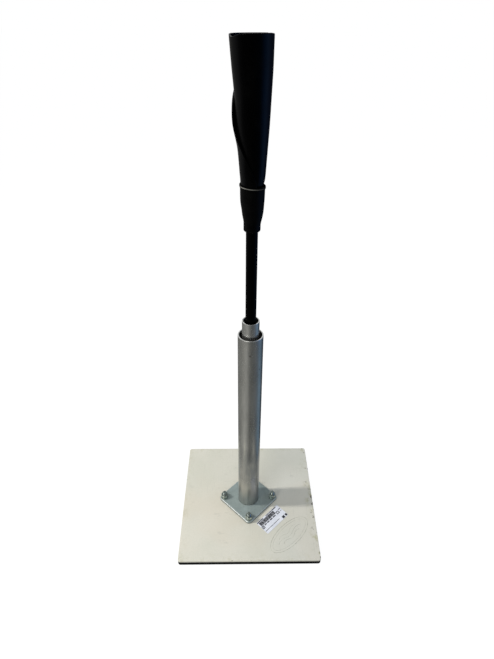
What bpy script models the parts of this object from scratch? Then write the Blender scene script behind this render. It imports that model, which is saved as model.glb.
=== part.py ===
"""Batting tee: a weighted square base, a telescoping stem and a rolled-rubber ball rest.

Metres, +Z up. The origin is on the floor under the stem's axis, and -Y is the front.
Bodies: base, middle tube (slides), rod glide (slides), rod (swivels), ball rest (flexes).
"""
import math

import bmesh
import bpy
from mathutils import Matrix, Vector

MM = 0.001

# Fits and fineness
GAP = 0.3 * MM               # between pieces that touch
RUNNING_GAP = 0.4 * MM       # radial, between pieces that slide in each other
ROUND_STEPS = 48             # facets round a tube
HIDDEN_STEPS = 32            # facets round a piece inside the stem
SMALL_STEPS = 16             # facets round a fastener
CUT_OVERSHOOT = 5 * MM       # how far a cutter passes a face
CORNER_SEGMENTS = 6          # of a plate's rounded corner
EDGE_SEGMENTS = 3            # of a rounded edge

# Base: rubber mat under a white board
BASE_SIDE = 330 * MM
BASE_CORNER = 6 * MM
MAT_TOP = 10 * MM
BOARD_TOP = 16 * MM
BOARD_EDGE_ROUND = 1.2 * MM
LABEL_SIZE = (74 * MM, 39 * MM, 0.3 * MM)
LABEL_CORNER = 1.5 * MM
LABEL_CENTRE = (58.6 * MM, -60.2 * MM)
LABEL_TURN = math.radians(44)

# Flange with its four bolts, turned 45 degrees on the board
FLANGE_SIDE = 108 * MM
FLANGE_CORNER = 10 * MM
FLANGE_THICK = 6 * MM
FLANGE_EDGE_ROUND = 1.4 * MM
FLANGE_TURN = math.radians(45)
BOLT_REACH = 61 * MM         # from the stem's axis to each bolt
BOLT_COUNT = 4
BOLT_RADIUS = 5 * MM
BOLT_HOLE_RADIUS = 5.5 * MM
BOLT_END = 41.7 * MM
BOLT_TIP_ROUND = 1.2 * MM
HEAD_RADIUS = 12 * MM
HEAD_HEIGHT = 4.9 * MM
HEAD_RIM = 0.9 * MM
HEAD_DOME_STEPS = 4
HEAD_POCKET_RADIUS = 13.5 * MM
HEAD_POCKET_DEPTH = 6 * MM
NECK_SIDE = 10.2 * MM
NECK_HOLE_RADIUS = 7.6 * MM
WASHER_RADIUS = 8.9 * MM
WASHER_THICK = 2.2 * MM
WASHER_SPLIT = 1.2 * MM
WASHER_EDGE = 0.2 * MM
NUT_CORNER_RADIUS = 9.2 * MM
NUT_HEIGHT = 8.4 * MM

# Outer tube, welded under the flange
OUTER_RADIUS = 25.4 * MM
OUTER_WALL = 2.4 * MM
OUTER_BOTTOM = 11.3 * MM
OUTER_TOP = 534 * MM
TUBE_EDGE = 0.5 * MM
WELD_LEG = 4.5 * MM
WELD_HOLE_RADIUS = 33 * MM
BUMPER_THICK = 11.4 * MM
BUMPER_EDGE = 1.5 * MM
OUTER_BUSH_RECESS = 6 * MM
OUTER_BUSH_LENGTH = 40 * MM

# Middle tube
MIDDLE_RADIUS = 17 * MM
MIDDLE_WALL = 2 * MM
MIDDLE_TOP = 566.6 * MM
MIDDLE_TRAVEL = 150 * MM
FOOT_DISC_THICK = 7.5 * MM
FOOT_STUB_LENGTH = 25 * MM
COLLAR_LENGTH = 40 * MM
COLLAR_PIN_RADIUS = 2 * MM
MIDDLE_BUSH_RECESS = 4 * MM
MIDDLE_BUSH_LENGTH = 31 * MM

# Rod and the glide that holds it by friction
ROD_RADIUS = 10.3 * MM
ROD_BOTTOM = 378 * MM
ROD_TOP = 768 * MM
ROD_EDGE = 1.2 * MM
GLIDE_BOTTOM = 380 * MM
GLIDE_LENGTH = 40 * MM
GLIDE_GROOVE_SHARES = (0.75, 0.25)       # of the glide's length
GLIDE_GROOVE_DEPTH = 2.9 * MM
GLIDE_GROOVE_WIDTH = 3.6 * MM
O_RING_RADIUS = 1.3 * MM
KEEPER_RADIUS = 12.6 * MM
KEEPER_THICK = 1.5 * MM
SCREW_RADIUS = 2.2 * MM
SCREW_HEAD_RADIUS = 4.5 * MM
SCREW_HEAD_HEIGHT = 2.6 * MM
SCREW_LENGTH = 18 * MM
SCREW_EDGE = 1 * MM
SCREW_BORE_SPARE = 2 * MM    # how much deeper the bore is than the screw

# Rubber boot that joins the rod to the ball rest, and flexes
BOOT_BOTTOM = 748 * MM
BOOT_TOP = 825 * MM
BOOT_NECK_RADIUS = 14.35 * MM
# (height, outer radius) from the neck's foot up to the lip
BOOT_PROFILE = (
    (BOOT_BOTTOM, BOOT_NECK_RADIUS), (760 * MM, BOOT_NECK_RADIUS), (764 * MM, 14.8 * MM),
    (769 * MM, 15.9 * MM), (774 * MM, 16.9 * MM), (779 * MM, 17.7 * MM), (789 * MM, 18.8 * MM),
    (799 * MM, 19.8 * MM), (810 * MM, 20.1 * MM), (BOOT_TOP, 20.3 * MM),
)
BOOT_LIP_RADIUS = 21.4 * MM
BOOT_LIP_HEIGHT = 4.5 * MM
BOOT_LIP_TILT = math.tan(math.radians(4))    # the lip hangs lower on its +X side
BOOT_TILT_BOTTOM = 800 * MM
BOOT_ROUND = 2 * MM
BOOT_WALL = 2.4 * MM
BOOT_SEAT_DEPTH = 3 * MM     # below the rolled sheet's foot
FLEX_HEIGHT = 781 * MM

# Rolled rubber sheet that the ball sits on
SHEET_BOTTOM = 794 * MM
SHEET_TOP = 1025.4 * MM
SHEET_THICK = 2.5 * MM
SHEET_PITCH = 3.0 * MM       # from one layer to the next
# (height, outer radius): squeezed inside the boot, and nearly a straight cone above it
SHEET_PROFILE = (
    (SHEET_BOTTOM, 16.6 * MM), (BOOT_TOP, 20.1 * MM), (831 * MM, 21.1 * MM), (842 * MM, 22.2 * MM),
    (869 * MM, 24.0 * MM), (905 * MM, 26.3 * MM), (955 * MM, 29.5 * MM), (985 * MM, 31.2 * MM),
    (SHEET_TOP, 32.9 * MM),
)
SHEET_LEAN_RIGHT = 0.8 * MM  # the roll leaves the boot a little to +X, and leans to -X at the rim
SHEET_LEAN_RIGHT_HEIGHTS = (825 * MM, 835 * MM)
SHEET_LEAN_LEFT = 5.3 * MM
SHEET_LEAN_POWER = 1.6
SHEET_INNER_EDGE = math.radians(-594)
SHEET_COLUMNS = 56
SHEET_ROWS = 11

# The sheet's outer edge. Its angle counts from the front towards +X.
EDGE_AT_RIM = math.radians(-174)
EDGE_AT_BACK = math.radians(-96)
EDGE_BACK_HEIGHTS = (951 * MM, 1025 * MM)
EDGE_SWEEP = math.radians(150)           # how far it crosses the front, down to the boot
EDGE_CROSSING = 861 * MM
EDGE_CROSSING_LENGTH = 28.8 * MM
LIFT_HEIGHTS = (874 * MM, 958 * MM)      # where the edge stands off the layer below
LIFT_MOST = 5.1 * MM
LIFT_POWER = 1.4
LIFT_SPAN = math.radians(55)

# The rim's rise round the cone, with one dip
RIM_RISE = 2 * MM
RIM_DROP = 1.1 * MM                       # at the sheet's outer edge
RIM_DROP_SPAN = math.radians(85)
RIM_DIP = 3.7 * MM
RIM_DIP_ANGLE = math.radians(-62)
RIM_DIP_WIDTH = math.radians(26)
RIM_TILT = 0.4 * MM
RIM_TILT_ANGLE = math.radians(60)
RIM_POWER = 6                            # how fast it fades below the rim

PLUG_LENGTH = 42 * MM
PLUG_RADII = (8.3 * MM, 11.6 * MM)

MIDDLE_INNER_RADIUS = MIDDLE_RADIUS - MIDDLE_WALL
OUTER_INNER_RADIUS = OUTER_RADIUS - OUTER_WALL
FLANGE_BOTTOM = BOARD_TOP + GAP
FLANGE_TOP = FLANGE_BOTTOM + FLANGE_THICK
WASHER_BOTTOM = FLANGE_TOP + GAP
NUT_BOTTOM = WASHER_BOTTOM + WASHER_THICK + GAP
HEAD_TOP = HEAD_POCKET_DEPTH - GAP
BUMPER_TOP = MAT_TOP + GAP + BUMPER_THICK
FOOT_BOTTOM = BUMPER_TOP + GAP
MIDDLE_BOTTOM = FOOT_BOTTOM + FOOT_DISC_THICK + GAP
OUTER_BUSH_BOTTOM = OUTER_TOP - OUTER_BUSH_RECESS - OUTER_BUSH_LENGTH
COLLAR_BOTTOM = OUTER_BUSH_BOTTOM - GAP - MIDDLE_TRAVEL - COLLAR_LENGTH
MIDDLE_BUSH_BOTTOM = MIDDLE_TOP - MIDDLE_BUSH_RECESS - MIDDLE_BUSH_LENGTH

# Name: (colour, roughness, metallic)
FINISHES = {
    "black_rubber": ((0.012, 0.012, 0.013), 0.75, 0.0),
    "white_board": ((0.70, 0.70, 0.62), 0.55, 0.0),
    "label_film": ((0.62, 0.64, 0.72), 0.40, 0.0),
    "zinc_plate": ((0.26, 0.30, 0.29), 0.42, 0.9),
    "zinc_hardware": ((0.42, 0.45, 0.44), 0.30, 1.0),
    "tube_steel": ((0.30, 0.30, 0.28), 0.38, 0.9),
    "weld_bead": ((0.16, 0.15, 0.14), 0.60, 0.8),
    "black_nylon": ((0.015, 0.015, 0.016), 0.50, 0.0),
    "black_rod": ((0.006, 0.006, 0.006), 0.45, 0.0),
    "roll_rubber": ((0.010, 0.010, 0.012), 0.50, 0.0),
}


def clear_scene():
    for old in list(bpy.data.objects):
        bpy.data.objects.remove(old, do_unlink=True)


def new_collection(name):
    made = bpy.data.collections.new(name)
    bpy.context.scene.collection.children.link(made)
    return made


def make_material(name):
    colour, roughness, metallic = FINISHES[name]
    made = bpy.data.materials.new(name)
    made.use_nodes = True
    shader = made.node_tree.nodes["Principled BSDF"]
    shader.inputs["Base Color"].default_value = (*colour, 1)
    shader.inputs["Roughness"].default_value = roughness
    shader.inputs["Metallic"].default_value = metallic
    return made


def holder(name, height):
    """An empty on a joint's axis, which the pieces of one moving body hang from."""
    made = bpy.data.objects.new(name, None)
    made.location = (0, 0, height)
    PARTS.objects.link(made)
    return made


def piece(name, mesh, finish, location=(0, 0, 0), turn=0.0, body=None):
    """A named sub-part in its body. Its location is in world space."""
    made = bpy.data.objects.new(name, mesh)
    made.location = location
    made.rotation_euler.z = turn
    if finish:
        mesh.materials.append(MATERIALS[finish])
    PARTS.objects.link(made)
    if body:
        made.parent = body
        made.matrix_parent_inverse = Matrix.Translation(-body.location)
    return made


def as_cutter(made):
    PARTS.objects.unlink(made)
    CUTTERS.objects.link(made)
    made.hide_render = True
    made.display_type = "WIRE"
    return made


def boolean(target, tool, operation="DIFFERENCE"):
    change = target.modifiers.new(operation.lower(), "BOOLEAN")
    change.operation = operation
    change.solver = "EXACT"
    change.object = tool


def slab_mesh(name, size, corner=0.0):
    """A plate standing on its own origin, with its upright edges rounded to the corner radius."""
    shape = bmesh.new()
    bmesh.ops.create_cube(shape, size=1)
    bmesh.ops.scale(shape, vec=size, verts=shape.verts)
    bmesh.ops.translate(shape, vec=(0, 0, size[2] / 2), verts=shape.verts)
    if corner:
        upright = [e for e in shape.edges if abs(e.verts[0].co.z - e.verts[1].co.z) > size[2] / 2]
        bmesh.ops.bevel(
            shape, geom=upright, offset=corner, segments=CORNER_SEGMENTS, profile=0.5,
            affect="EDGES",
        )
    mesh = bpy.data.meshes.new(name)
    shape.to_mesh(mesh)
    shape.free()
    return mesh


def round_top_edge(slab, width, thickness):
    """Weights the edges of the slab's top rim and bevels only those."""
    weights = slab.data.attributes.new("bevel_weight_edge", "FLOAT", "EDGE")
    for edge in slab.data.edges:
        heights = [slab.data.vertices[v].co.z for v in edge.vertices]
        weights.data[edge.index].value = 1.0 if min(heights) > thickness / 2 else 0.0
    rounding = slab.modifiers.new("round_top_edge", "BEVEL")
    rounding.limit_method = "WEIGHT"
    rounding.width = width
    rounding.segments = EDGE_SEGMENTS


def cylinder_mesh(name, radius, height, steps=SMALL_STEPS):
    """A cylinder standing on its own origin."""
    shape = bmesh.new()
    bmesh.ops.create_cone(
        shape, cap_ends=True, segments=steps, radius1=radius, radius2=radius, depth=height
    )
    bmesh.ops.translate(shape, vec=(0, 0, height / 2), verts=shape.verts)
    mesh = bpy.data.meshes.new(name)
    shape.to_mesh(mesh)
    shape.free()
    return mesh


def turned(name, outline, finish, location=(0, 0, 0), body=None, closed=False, steps=ROUND_STEPS):
    """A turned piece: the outline, in (radius, height), runs down its outer side."""
    points = [(r, 0, z) for r, z in outline]
    edges = [(i, i + 1) for i in range(len(points) - 1)]
    if closed:
        edges.append((len(points) - 1, 0))
    mesh = bpy.data.meshes.new(name)
    mesh.from_pydata(points, edges, [])
    made = piece(name, mesh, finish, location, body=body)
    lathe = made.modifiers.new("lathe", "SCREW")
    lathe.steps = steps
    lathe.render_steps = steps
    lathe.use_merge_vertices = True
    lathe.merge_threshold = 0.01 * MM
    lathe.use_smooth_shade = True
    return made


def sleeve_outline(inner, outer, length, edge=TUBE_EDGE):
    """A tube's section from 0 to its length, with chamfered mouths."""
    return [
        (outer - edge, length), (outer, length - edge), (outer, edge), (outer - edge, 0),
        (inner + edge, 0), (inner, edge), (inner, length - edge), (inner + edge, length),
    ]


def arc(centre, radius, start, end, count):
    """Points on an arc in (radius, height), with angles in degrees from the +radius direction."""
    points = []
    for i in range(count + 1):
        angle = math.radians(start + (end - start) * i / count)
        points.append((centre[0] + radius * math.cos(angle), centre[1] + radius * math.sin(angle)))
    return points


def smooth_step(value, low, high):
    t = min(max((value - low) / (high - low), 0.0), 1.0)
    return t * t * (3 - 2 * t)


def bolt_places():
    for i in range(BOLT_COUNT):
        angle = math.radians(-90 + i * 360 / BOLT_COUNT)
        yield i + 1, Vector((BOLT_REACH * math.cos(angle), BOLT_REACH * math.sin(angle), 0))


def round_cutter(name, radius, low, high, place=(0, 0)):
    height = high - low
    steps = ROUND_STEPS if radius > HEAD_POCKET_RADIUS else SMALL_STEPS
    mesh = cylinder_mesh(name, radius, height, steps)
    return as_cutter(piece(name, mesh, None, (place[0], place[1], low)))


def build_base_slabs():
    mat = piece(
        "rubber_mat", slab_mesh("rubber_mat", (BASE_SIDE, BASE_SIDE, MAT_TOP), BASE_CORNER),
        "black_rubber", body=BASE,
    )
    thick = BOARD_TOP - MAT_TOP - GAP
    board = piece(
        "base_board", slab_mesh("base_board", (BASE_SIDE, BASE_SIDE, thick), BASE_CORNER),
        "white_board", (0, 0, MAT_TOP + GAP), body=BASE,
    )
    round_top_edge(board, BOARD_EDGE_ROUND, thick)
    under, over = -CUT_OVERSHOOT, BOARD_TOP + CUT_OVERSHOOT
    for number, place in bolt_places():
        boolean(mat, round_cutter(
            f"head_pocket_{number}", HEAD_POCKET_RADIUS, under, HEAD_POCKET_DEPTH, place))
        boolean(mat, round_cutter(f"neck_hole_{number}", NECK_HOLE_RADIUS, under, over, place))
        boolean(board, round_cutter(f"board_hole_{number}", BOLT_HOLE_RADIUS, under, over, place))
    boolean(board, round_cutter("weld_hole", WELD_HOLE_RADIUS, under, over))


def build_label():
    piece(
        "label", slab_mesh("label", LABEL_SIZE, LABEL_CORNER), "label_film",
        (*LABEL_CENTRE, BOARD_TOP + GAP), LABEL_TURN, BASE,
    )


def build_flange():
    size = (FLANGE_SIDE, FLANGE_SIDE, FLANGE_THICK)
    flange = piece(
        "flange_plate", slab_mesh("flange_plate", size, FLANGE_CORNER), "zinc_plate",
        (0, 0, FLANGE_BOTTOM), FLANGE_TURN, BASE,
    )
    round_top_edge(flange, FLANGE_EDGE_ROUND, FLANGE_THICK)
    low, high = FLANGE_BOTTOM - CUT_OVERSHOOT, FLANGE_TOP + CUT_OVERSHOOT
    boolean(flange, round_cutter("tube_hole", OUTER_RADIUS + GAP, low, high))
    for number, place in bolt_places():
        boolean(flange, round_cutter(f"flange_hole_{number}", BOLT_HOLE_RADIUS, low, high, place))


def bolt_outline():
    """Carriage bolt from its tip down to its domed head."""
    tip = arc((BOLT_RADIUS - BOLT_TIP_ROUND, BOLT_END - BOLT_TIP_ROUND), BOLT_TIP_ROUND, 90, 0, 2)
    rim_bottom = HEAD_TOP - HEAD_RIM
    dome_height = HEAD_HEIGHT - HEAD_RIM
    dome = []
    for i in range(HEAD_DOME_STEPS + 1):
        angle = math.radians(90 * i / HEAD_DOME_STEPS)
        dome.append((HEAD_RADIUS * math.cos(angle), rim_bottom - dome_height * math.sin(angle)))
    dome[-1] = (0, dome[-1][1])
    return [(0, BOLT_END), *tip, (BOLT_RADIUS, HEAD_TOP), (HEAD_RADIUS, HEAD_TOP), *dome]


def build_fasteners():
    neck = (NECK_SIDE, NECK_SIDE, MAT_TOP - HEAD_TOP)
    for number, place in bolt_places():
        bolt = turned(
            f"carriage_bolt_{number}", bolt_outline(), "zinc_hardware", place, BASE,
            steps=SMALL_STEPS,
        )
        square = piece(
            f"square_neck_{number}", slab_mesh("square_neck", neck), None,
            (place.x, place.y, HEAD_TOP - HEAD_RIM / 2),
        )
        boolean(bolt, as_cutter(square), "UNION")

        washer = turned(
            f"lock_washer_{number}",
            sleeve_outline(BOLT_RADIUS + GAP, WASHER_RADIUS, WASHER_THICK, WASHER_EDGE),
            "zinc_hardware", (place.x, place.y, WASHER_BOTTOM), BASE, True, SMALL_STEPS,
        )
        split_size = (WASHER_RADIUS + CUT_OVERSHOOT, WASHER_SPLIT, WASHER_THICK + CUT_OVERSHOOT)
        split = piece(
            f"washer_split_{number}", slab_mesh("washer_split", split_size), None,
            (place.x + split_size[0] / 2, place.y, WASHER_BOTTOM - CUT_OVERSHOOT / 2),
        )
        boolean(washer, as_cutter(split))

        nut = piece(
            f"hex_nut_{number}", cylinder_mesh("hex_nut", NUT_CORNER_RADIUS, NUT_HEIGHT, 6),
            "zinc_hardware", (place.x, place.y, NUT_BOTTOM), body=BASE,
        )
        boolean(nut, round_cutter(
            f"nut_bore_{number}", BOLT_RADIUS + GAP, NUT_BOTTOM - CUT_OVERSHOOT,
            NUT_BOTTOM + NUT_HEIGHT + CUT_OVERSHOOT, place))


def build_outer_tube():
    turned(
        "outer_tube", sleeve_outline(OUTER_INNER_RADIUS, OUTER_RADIUS, OUTER_TOP - OUTER_BOTTOM),
        "tube_steel", (0, 0, OUTER_BOTTOM), BASE, True,
    )
    inner = OUTER_RADIUS + GAP
    weld_top = FLANGE_BOTTOM - GAP
    bead = [(inner, weld_top), (inner + WELD_LEG, weld_top), (inner, weld_top - WELD_LEG)]
    turned("tube_weld", bead, "weld_bead", body=BASE, closed=True, steps=HIDDEN_STEPS)
    radius = OUTER_INNER_RADIUS - RUNNING_GAP
    turned(
        "bump_stop",
        [(0, BUMPER_THICK), (radius - BUMPER_EDGE, BUMPER_THICK),
         (radius, BUMPER_THICK - BUMPER_EDGE), (radius, 0), (0, 0)],
        "black_rubber", (0, 0, MAT_TOP + GAP), BASE, steps=HIDDEN_STEPS,
    )
    turned(
        "outer_guide_bush",
        sleeve_outline(MIDDLE_RADIUS + RUNNING_GAP, OUTER_INNER_RADIUS - GAP, OUTER_BUSH_LENGTH),
        "black_nylon", (0, 0, OUTER_BUSH_BOTTOM), BASE, True, HIDDEN_STEPS,
    )


def build_middle_tube():
    tube = turned(
        "middle_tube",
        sleeve_outline(MIDDLE_INNER_RADIUS, MIDDLE_RADIUS, MIDDLE_TOP - MIDDLE_BOTTOM),
        "tube_steel", (0, 0, MIDDLE_BOTTOM), MIDDLE, True,
    )
    disc, stub = OUTER_INNER_RADIUS - RUNNING_GAP, MIDDLE_INNER_RADIUS - GAP
    foot_top = FOOT_DISC_THICK + FOOT_STUB_LENGTH
    turned(
        "foot_glide",
        [(0, foot_top), (stub - TUBE_EDGE, foot_top), (stub, foot_top - TUBE_EDGE),
         (stub, FOOT_DISC_THICK), (disc, FOOT_DISC_THICK), (disc, TUBE_EDGE),
         (disc - TUBE_EDGE, 0), (0, 0)],
        "black_nylon", (0, 0, FOOT_BOTTOM), MIDDLE, steps=HIDDEN_STEPS,
    )
    collar = turned(
        "stop_collar", sleeve_outline(MIDDLE_RADIUS + GAP, disc, COLLAR_LENGTH),
        "black_nylon", (0, 0, COLLAR_BOTTOM), MIDDLE, True, HIDDEN_STEPS,
    )
    pin_height = COLLAR_BOTTOM + COLLAR_LENGTH / 2
    pin_reach = (MIDDLE_INNER_RADIUS + GAP, disc - GAP)
    pin_length = pin_reach[1] - pin_reach[0]
    for number, side in ((1, 1), (2, -1)):
        pin = piece(
            f"collar_pin_{number}",
            cylinder_mesh("collar_pin", COLLAR_PIN_RADIUS, pin_length, SMALL_STEPS // 2),
            "zinc_hardware", (side * pin_reach[0], 0, pin_height), body=MIDDLE,
        )
        pin.rotation_euler.y = side * math.pi / 2
    length = 2 * disc + CUT_OVERSHOOT
    drill = piece(
        "pin_hole", cylinder_mesh("pin_hole", COLLAR_PIN_RADIUS + GAP, length, SMALL_STEPS // 2),
        None, (-length / 2, 0, pin_height),
    )
    drill.rotation_euler.y = math.pi / 2
    as_cutter(drill)
    boolean(tube, drill)
    boolean(collar, drill)
    turned(
        "middle_guide_bush",
        sleeve_outline(ROD_RADIUS + RUNNING_GAP, MIDDLE_INNER_RADIUS - GAP, MIDDLE_BUSH_LENGTH),
        "black_nylon", (0, 0, MIDDLE_BUSH_BOTTOM), MIDDLE, True, HIDDEN_STEPS,
    )


def build_rod_glide():
    """A nylon sleeve round the rod's foot, with two O-rings that grip the middle tube."""
    inner, outer = ROD_RADIUS + RUNNING_GAP, MIDDLE_INNER_RADIUS - RUNNING_GAP
    floor = outer - GLIDE_GROOVE_DEPTH
    outline = [(outer - TUBE_EDGE, GLIDE_LENGTH), (outer, GLIDE_LENGTH - TUBE_EDGE)]
    groove_heights = [GLIDE_LENGTH * share for share in GLIDE_GROOVE_SHARES]
    for middle in groove_heights:
        top, bottom = middle + GLIDE_GROOVE_WIDTH / 2, middle - GLIDE_GROOVE_WIDTH / 2
        outline += [(outer, top), (floor, top), (floor, bottom), (outer, bottom)]
    outline += [(outer, TUBE_EDGE), (outer - TUBE_EDGE, 0), (inner, 0), (inner, GLIDE_LENGTH)]
    turned("rod_glide", outline, "black_nylon", (0, 0, GLIDE_BOTTOM), GLIDE, True,
           HIDDEN_STEPS)
    ring_centre = floor + GAP + O_RING_RADIUS
    for number, middle in enumerate(groove_heights, 1):
        ring = arc((ring_centre, 0), O_RING_RADIUS, 90, -225, 7)
        turned(
            f"o_ring_{number}", ring, "black_rubber", (0, 0, GLIDE_BOTTOM + middle), GLIDE, True,
            HIDDEN_STEPS,
        )


def build_rod():
    bore = SCREW_RADIUS + GAP
    bore_top = ROD_BOTTOM + SCREW_LENGTH + SCREW_BORE_SPARE
    turned(
        "rod",
        [(0, ROD_TOP), (ROD_RADIUS - ROD_EDGE, ROD_TOP), (ROD_RADIUS, ROD_TOP - ROD_EDGE),
         (ROD_RADIUS, ROD_BOTTOM), (bore, ROD_BOTTOM), (bore, bore_top), (0, bore_top)],
        "black_rod", body=ROD,
    )
    washer_bottom = ROD_BOTTOM - GAP - KEEPER_THICK
    turned(
        "keeper_washer",
        [(KEEPER_RADIUS, KEEPER_THICK), (KEEPER_RADIUS, 0), (bore, 0), (bore, KEEPER_THICK)],
        "zinc_hardware", (0, 0, washer_bottom), ROD, True, HIDDEN_STEPS,
    )
    head_top = washer_bottom - GAP
    head_bottom = head_top - SCREW_HEAD_HEIGHT
    turned(
        "keeper_screw",
        [(0, head_top + SCREW_LENGTH), (SCREW_RADIUS, head_top + SCREW_LENGTH - SCREW_EDGE),
         (SCREW_RADIUS, head_top), (SCREW_HEAD_RADIUS, head_top),
         (SCREW_HEAD_RADIUS - SCREW_EDGE, head_bottom), (0, head_bottom)],
        "zinc_hardware", body=ROD, steps=SMALL_STEPS,
    )


def along_profile(profile, height):
    """The radius at a height, straight between a profile's points."""
    for (low, low_radius), (high, high_radius) in zip(profile, profile[1:]):
        if height <= high:
            break
    return low_radius + (high_radius - low_radius) * (height - low) / (high - low)


def boot_outline():
    """The boot's section as (radius, height): down its outer side, then up its bore."""
    lip_bottom = BOOT_TOP - BOOT_LIP_HEIGHT
    outline = arc((BOOT_LIP_RADIUS - BOOT_ROUND / 2, BOOT_TOP - BOOT_ROUND / 2),
                  BOOT_ROUND / 2, 90, 0, 3)
    outline += [(BOOT_LIP_RADIUS, BOOT_TOP - BOOT_LIP_HEIGHT / 2)]
    outline += [(along_profile(BOOT_PROFILE, lip_bottom), lip_bottom)]
    outline += [(radius, height) for height, radius in BOOT_PROFILE[-2:0:-1]]
    low = BOOT_BOTTOM + BOOT_ROUND
    outline += arc((BOOT_NECK_RADIUS - BOOT_ROUND, low), BOOT_ROUND, 0, -90, 3)
    grip = ROD_RADIUS + GAP
    seat = SHEET_BOTTOM - BOOT_SEAT_DEPTH
    outline += [(grip, BOOT_BOTTOM), (grip, ROD_TOP)]
    for i in range(1, 4):
        height = ROD_TOP + (seat - ROD_TOP) * i / 4
        outline.append((along_profile(BOOT_PROFILE, height) - BOOT_WALL, height))
    foot = along_profile(SHEET_PROFILE, SHEET_BOTTOM) + GAP
    mouth = along_profile(SHEET_PROFILE, BOOT_TOP) + GAP
    return outline + [(foot, seat), (foot, SHEET_BOTTOM), (mouth, BOOT_TOP)]


def build_boot():
    shape = bmesh.new()
    rings = []
    outline = boot_outline()
    for i in range(ROUND_STEPS):
        angle = 2 * math.pi * i / ROUND_STEPS
        ring = []
        for radius, height in outline:
            x = radius * math.sin(angle)
            tilt = BOOT_LIP_TILT * x * smooth_step(height, BOOT_TILT_BOTTOM, BOOT_TOP)
            ring.append(shape.verts.new((x, -radius * math.cos(angle), height - tilt)))
        rings.append(ring)
    for a, b in zip(rings, rings[1:] + rings[:1]):
        for i in range(len(outline)):
            j = (i + 1) % len(outline)
            shape.faces.new((a[i], a[j], b[j], b[i]))
    bmesh.ops.recalc_face_normals(shape, faces=shape.faces)
    mesh = bpy.data.meshes.new("rubber_boot")
    shape.to_mesh(mesh)
    shape.free()
    mesh.shade_smooth()
    piece("rubber_boot", mesh, "roll_rubber", body=ROD)


def free_edge_angle(height):
    """Where the sheet's outer edge is: round the back at the rim, across the front at the boot."""
    sweep = EDGE_SWEEP / (1 + math.exp((height - EDGE_CROSSING) / EDGE_CROSSING_LENGTH))
    back = (EDGE_AT_RIM - EDGE_AT_BACK) * smooth_step(height, *EDGE_BACK_HEIGHTS)
    return EDGE_AT_BACK + sweep + back


def edge_lift(height, behind):
    """How far the loose edge stands off the layer below; behind is the angle back from the edge."""
    low, high = LIFT_HEIGHTS
    if not low < height < high:
        return 0.0
    along = math.sin(math.pi * (height - low) / (high - low)) ** LIFT_POWER
    return LIFT_MOST * along * max(0.0, 1 - behind / LIFT_SPAN) ** 2


def rim_wave(angle, behind):
    """The rim's rise round the cone; behind is the angle back from the sheet's outer edge."""
    away = (angle - RIM_DIP_ANGLE + math.pi) % (2 * math.pi) - math.pi
    dip = RIM_DIP * math.exp(-((away / RIM_DIP_WIDTH) ** 2))
    drop = RIM_DROP * max(0, 1 - behind / RIM_DROP_SPAN)
    return RIM_RISE - dip - drop + RIM_TILT * math.cos(angle - RIM_TILT_ANGLE)


def sheet_lean(height):
    """How far the roll's middle is off the stem's axis, along X."""
    up = max(0.0, (height - BOOT_TOP) / (SHEET_TOP - BOOT_TOP))
    right = SHEET_LEAN_RIGHT * smooth_step(height, *SHEET_LEAN_RIGHT_HEIGHTS)
    return right - SHEET_LEAN_LEFT * up ** SHEET_LEAN_POWER


def sheet_point(across, up):
    """A point of the sheet's middle surface: across runs from its outer edge to its inner one."""
    height = SHEET_BOTTOM + (SHEET_TOP - SHEET_BOTTOM) * up
    start = free_edge_angle(height)
    behind = (start - SHEET_INNER_EDGE) * across
    angle = start - behind
    radius = along_profile(SHEET_PROFILE, height) - SHEET_THICK / 2 - SHEET_PITCH * behind / (2 * math.pi)
    radius += edge_lift(height, behind)
    middle = sheet_lean(height)
    height += rim_wave(angle, behind) * up ** RIM_POWER
    return Vector((middle + radius * math.sin(angle), -radius * math.cos(angle), height))


def build_ball_rest():
    shape = bmesh.new()
    grid = [
        [shape.verts.new(sheet_point(c / SHEET_COLUMNS, r / SHEET_ROWS))
         for c in range(SHEET_COLUMNS + 1)]
        for r in range(SHEET_ROWS + 1)
    ]
    for low, high in zip(grid, grid[1:]):
        for c in range(SHEET_COLUMNS):
            shape.faces.new((low[c], high[c], high[c + 1], low[c + 1]))
    mesh = bpy.data.meshes.new("rolled_sheet")
    shape.to_mesh(mesh)
    shape.free()
    mesh.shade_smooth()
    sheet = piece("rolled_sheet", mesh, "roll_rubber", body=REST)
    thicken = sheet.modifiers.new("sheet_thickness", "SOLIDIFY")
    thicken.thickness = SHEET_THICK
    thicken.offset = 0
    thicken.use_even_offset = True

    foot, head = PLUG_RADII
    turned(
        "core_plug",
        [(0, PLUG_LENGTH), (head - TUBE_EDGE, PLUG_LENGTH), (head, PLUG_LENGTH - TUBE_EDGE),
         (foot, 0), (0, 0)],
        "black_nylon", (0, 0, SHEET_BOTTOM), REST, steps=HIDDEN_STEPS,
    )


clear_scene()
PARTS = new_collection("batting_tee")
CUTTERS = new_collection("cutters")
MATERIALS = {name: make_material(name) for name in FINISHES}
BASE = holder("base_frame", 0)
MIDDLE = holder("middle_slide", MIDDLE_BOTTOM)
GLIDE = holder("rod_slide", GLIDE_BOTTOM)
ROD = holder("rod_swivel", ROD_BOTTOM)
REST = holder("rest_flex", FLEX_HEIGHT)

build_base_slabs()
build_label()
build_flange()
build_fasteners()
build_outer_tube()
build_middle_tube()
build_rod_glide()
build_rod()
build_boot()
build_ball_rest()
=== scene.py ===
import math

import bmesh
import bpy
from mathutils import Matrix, Vector, noise


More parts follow.
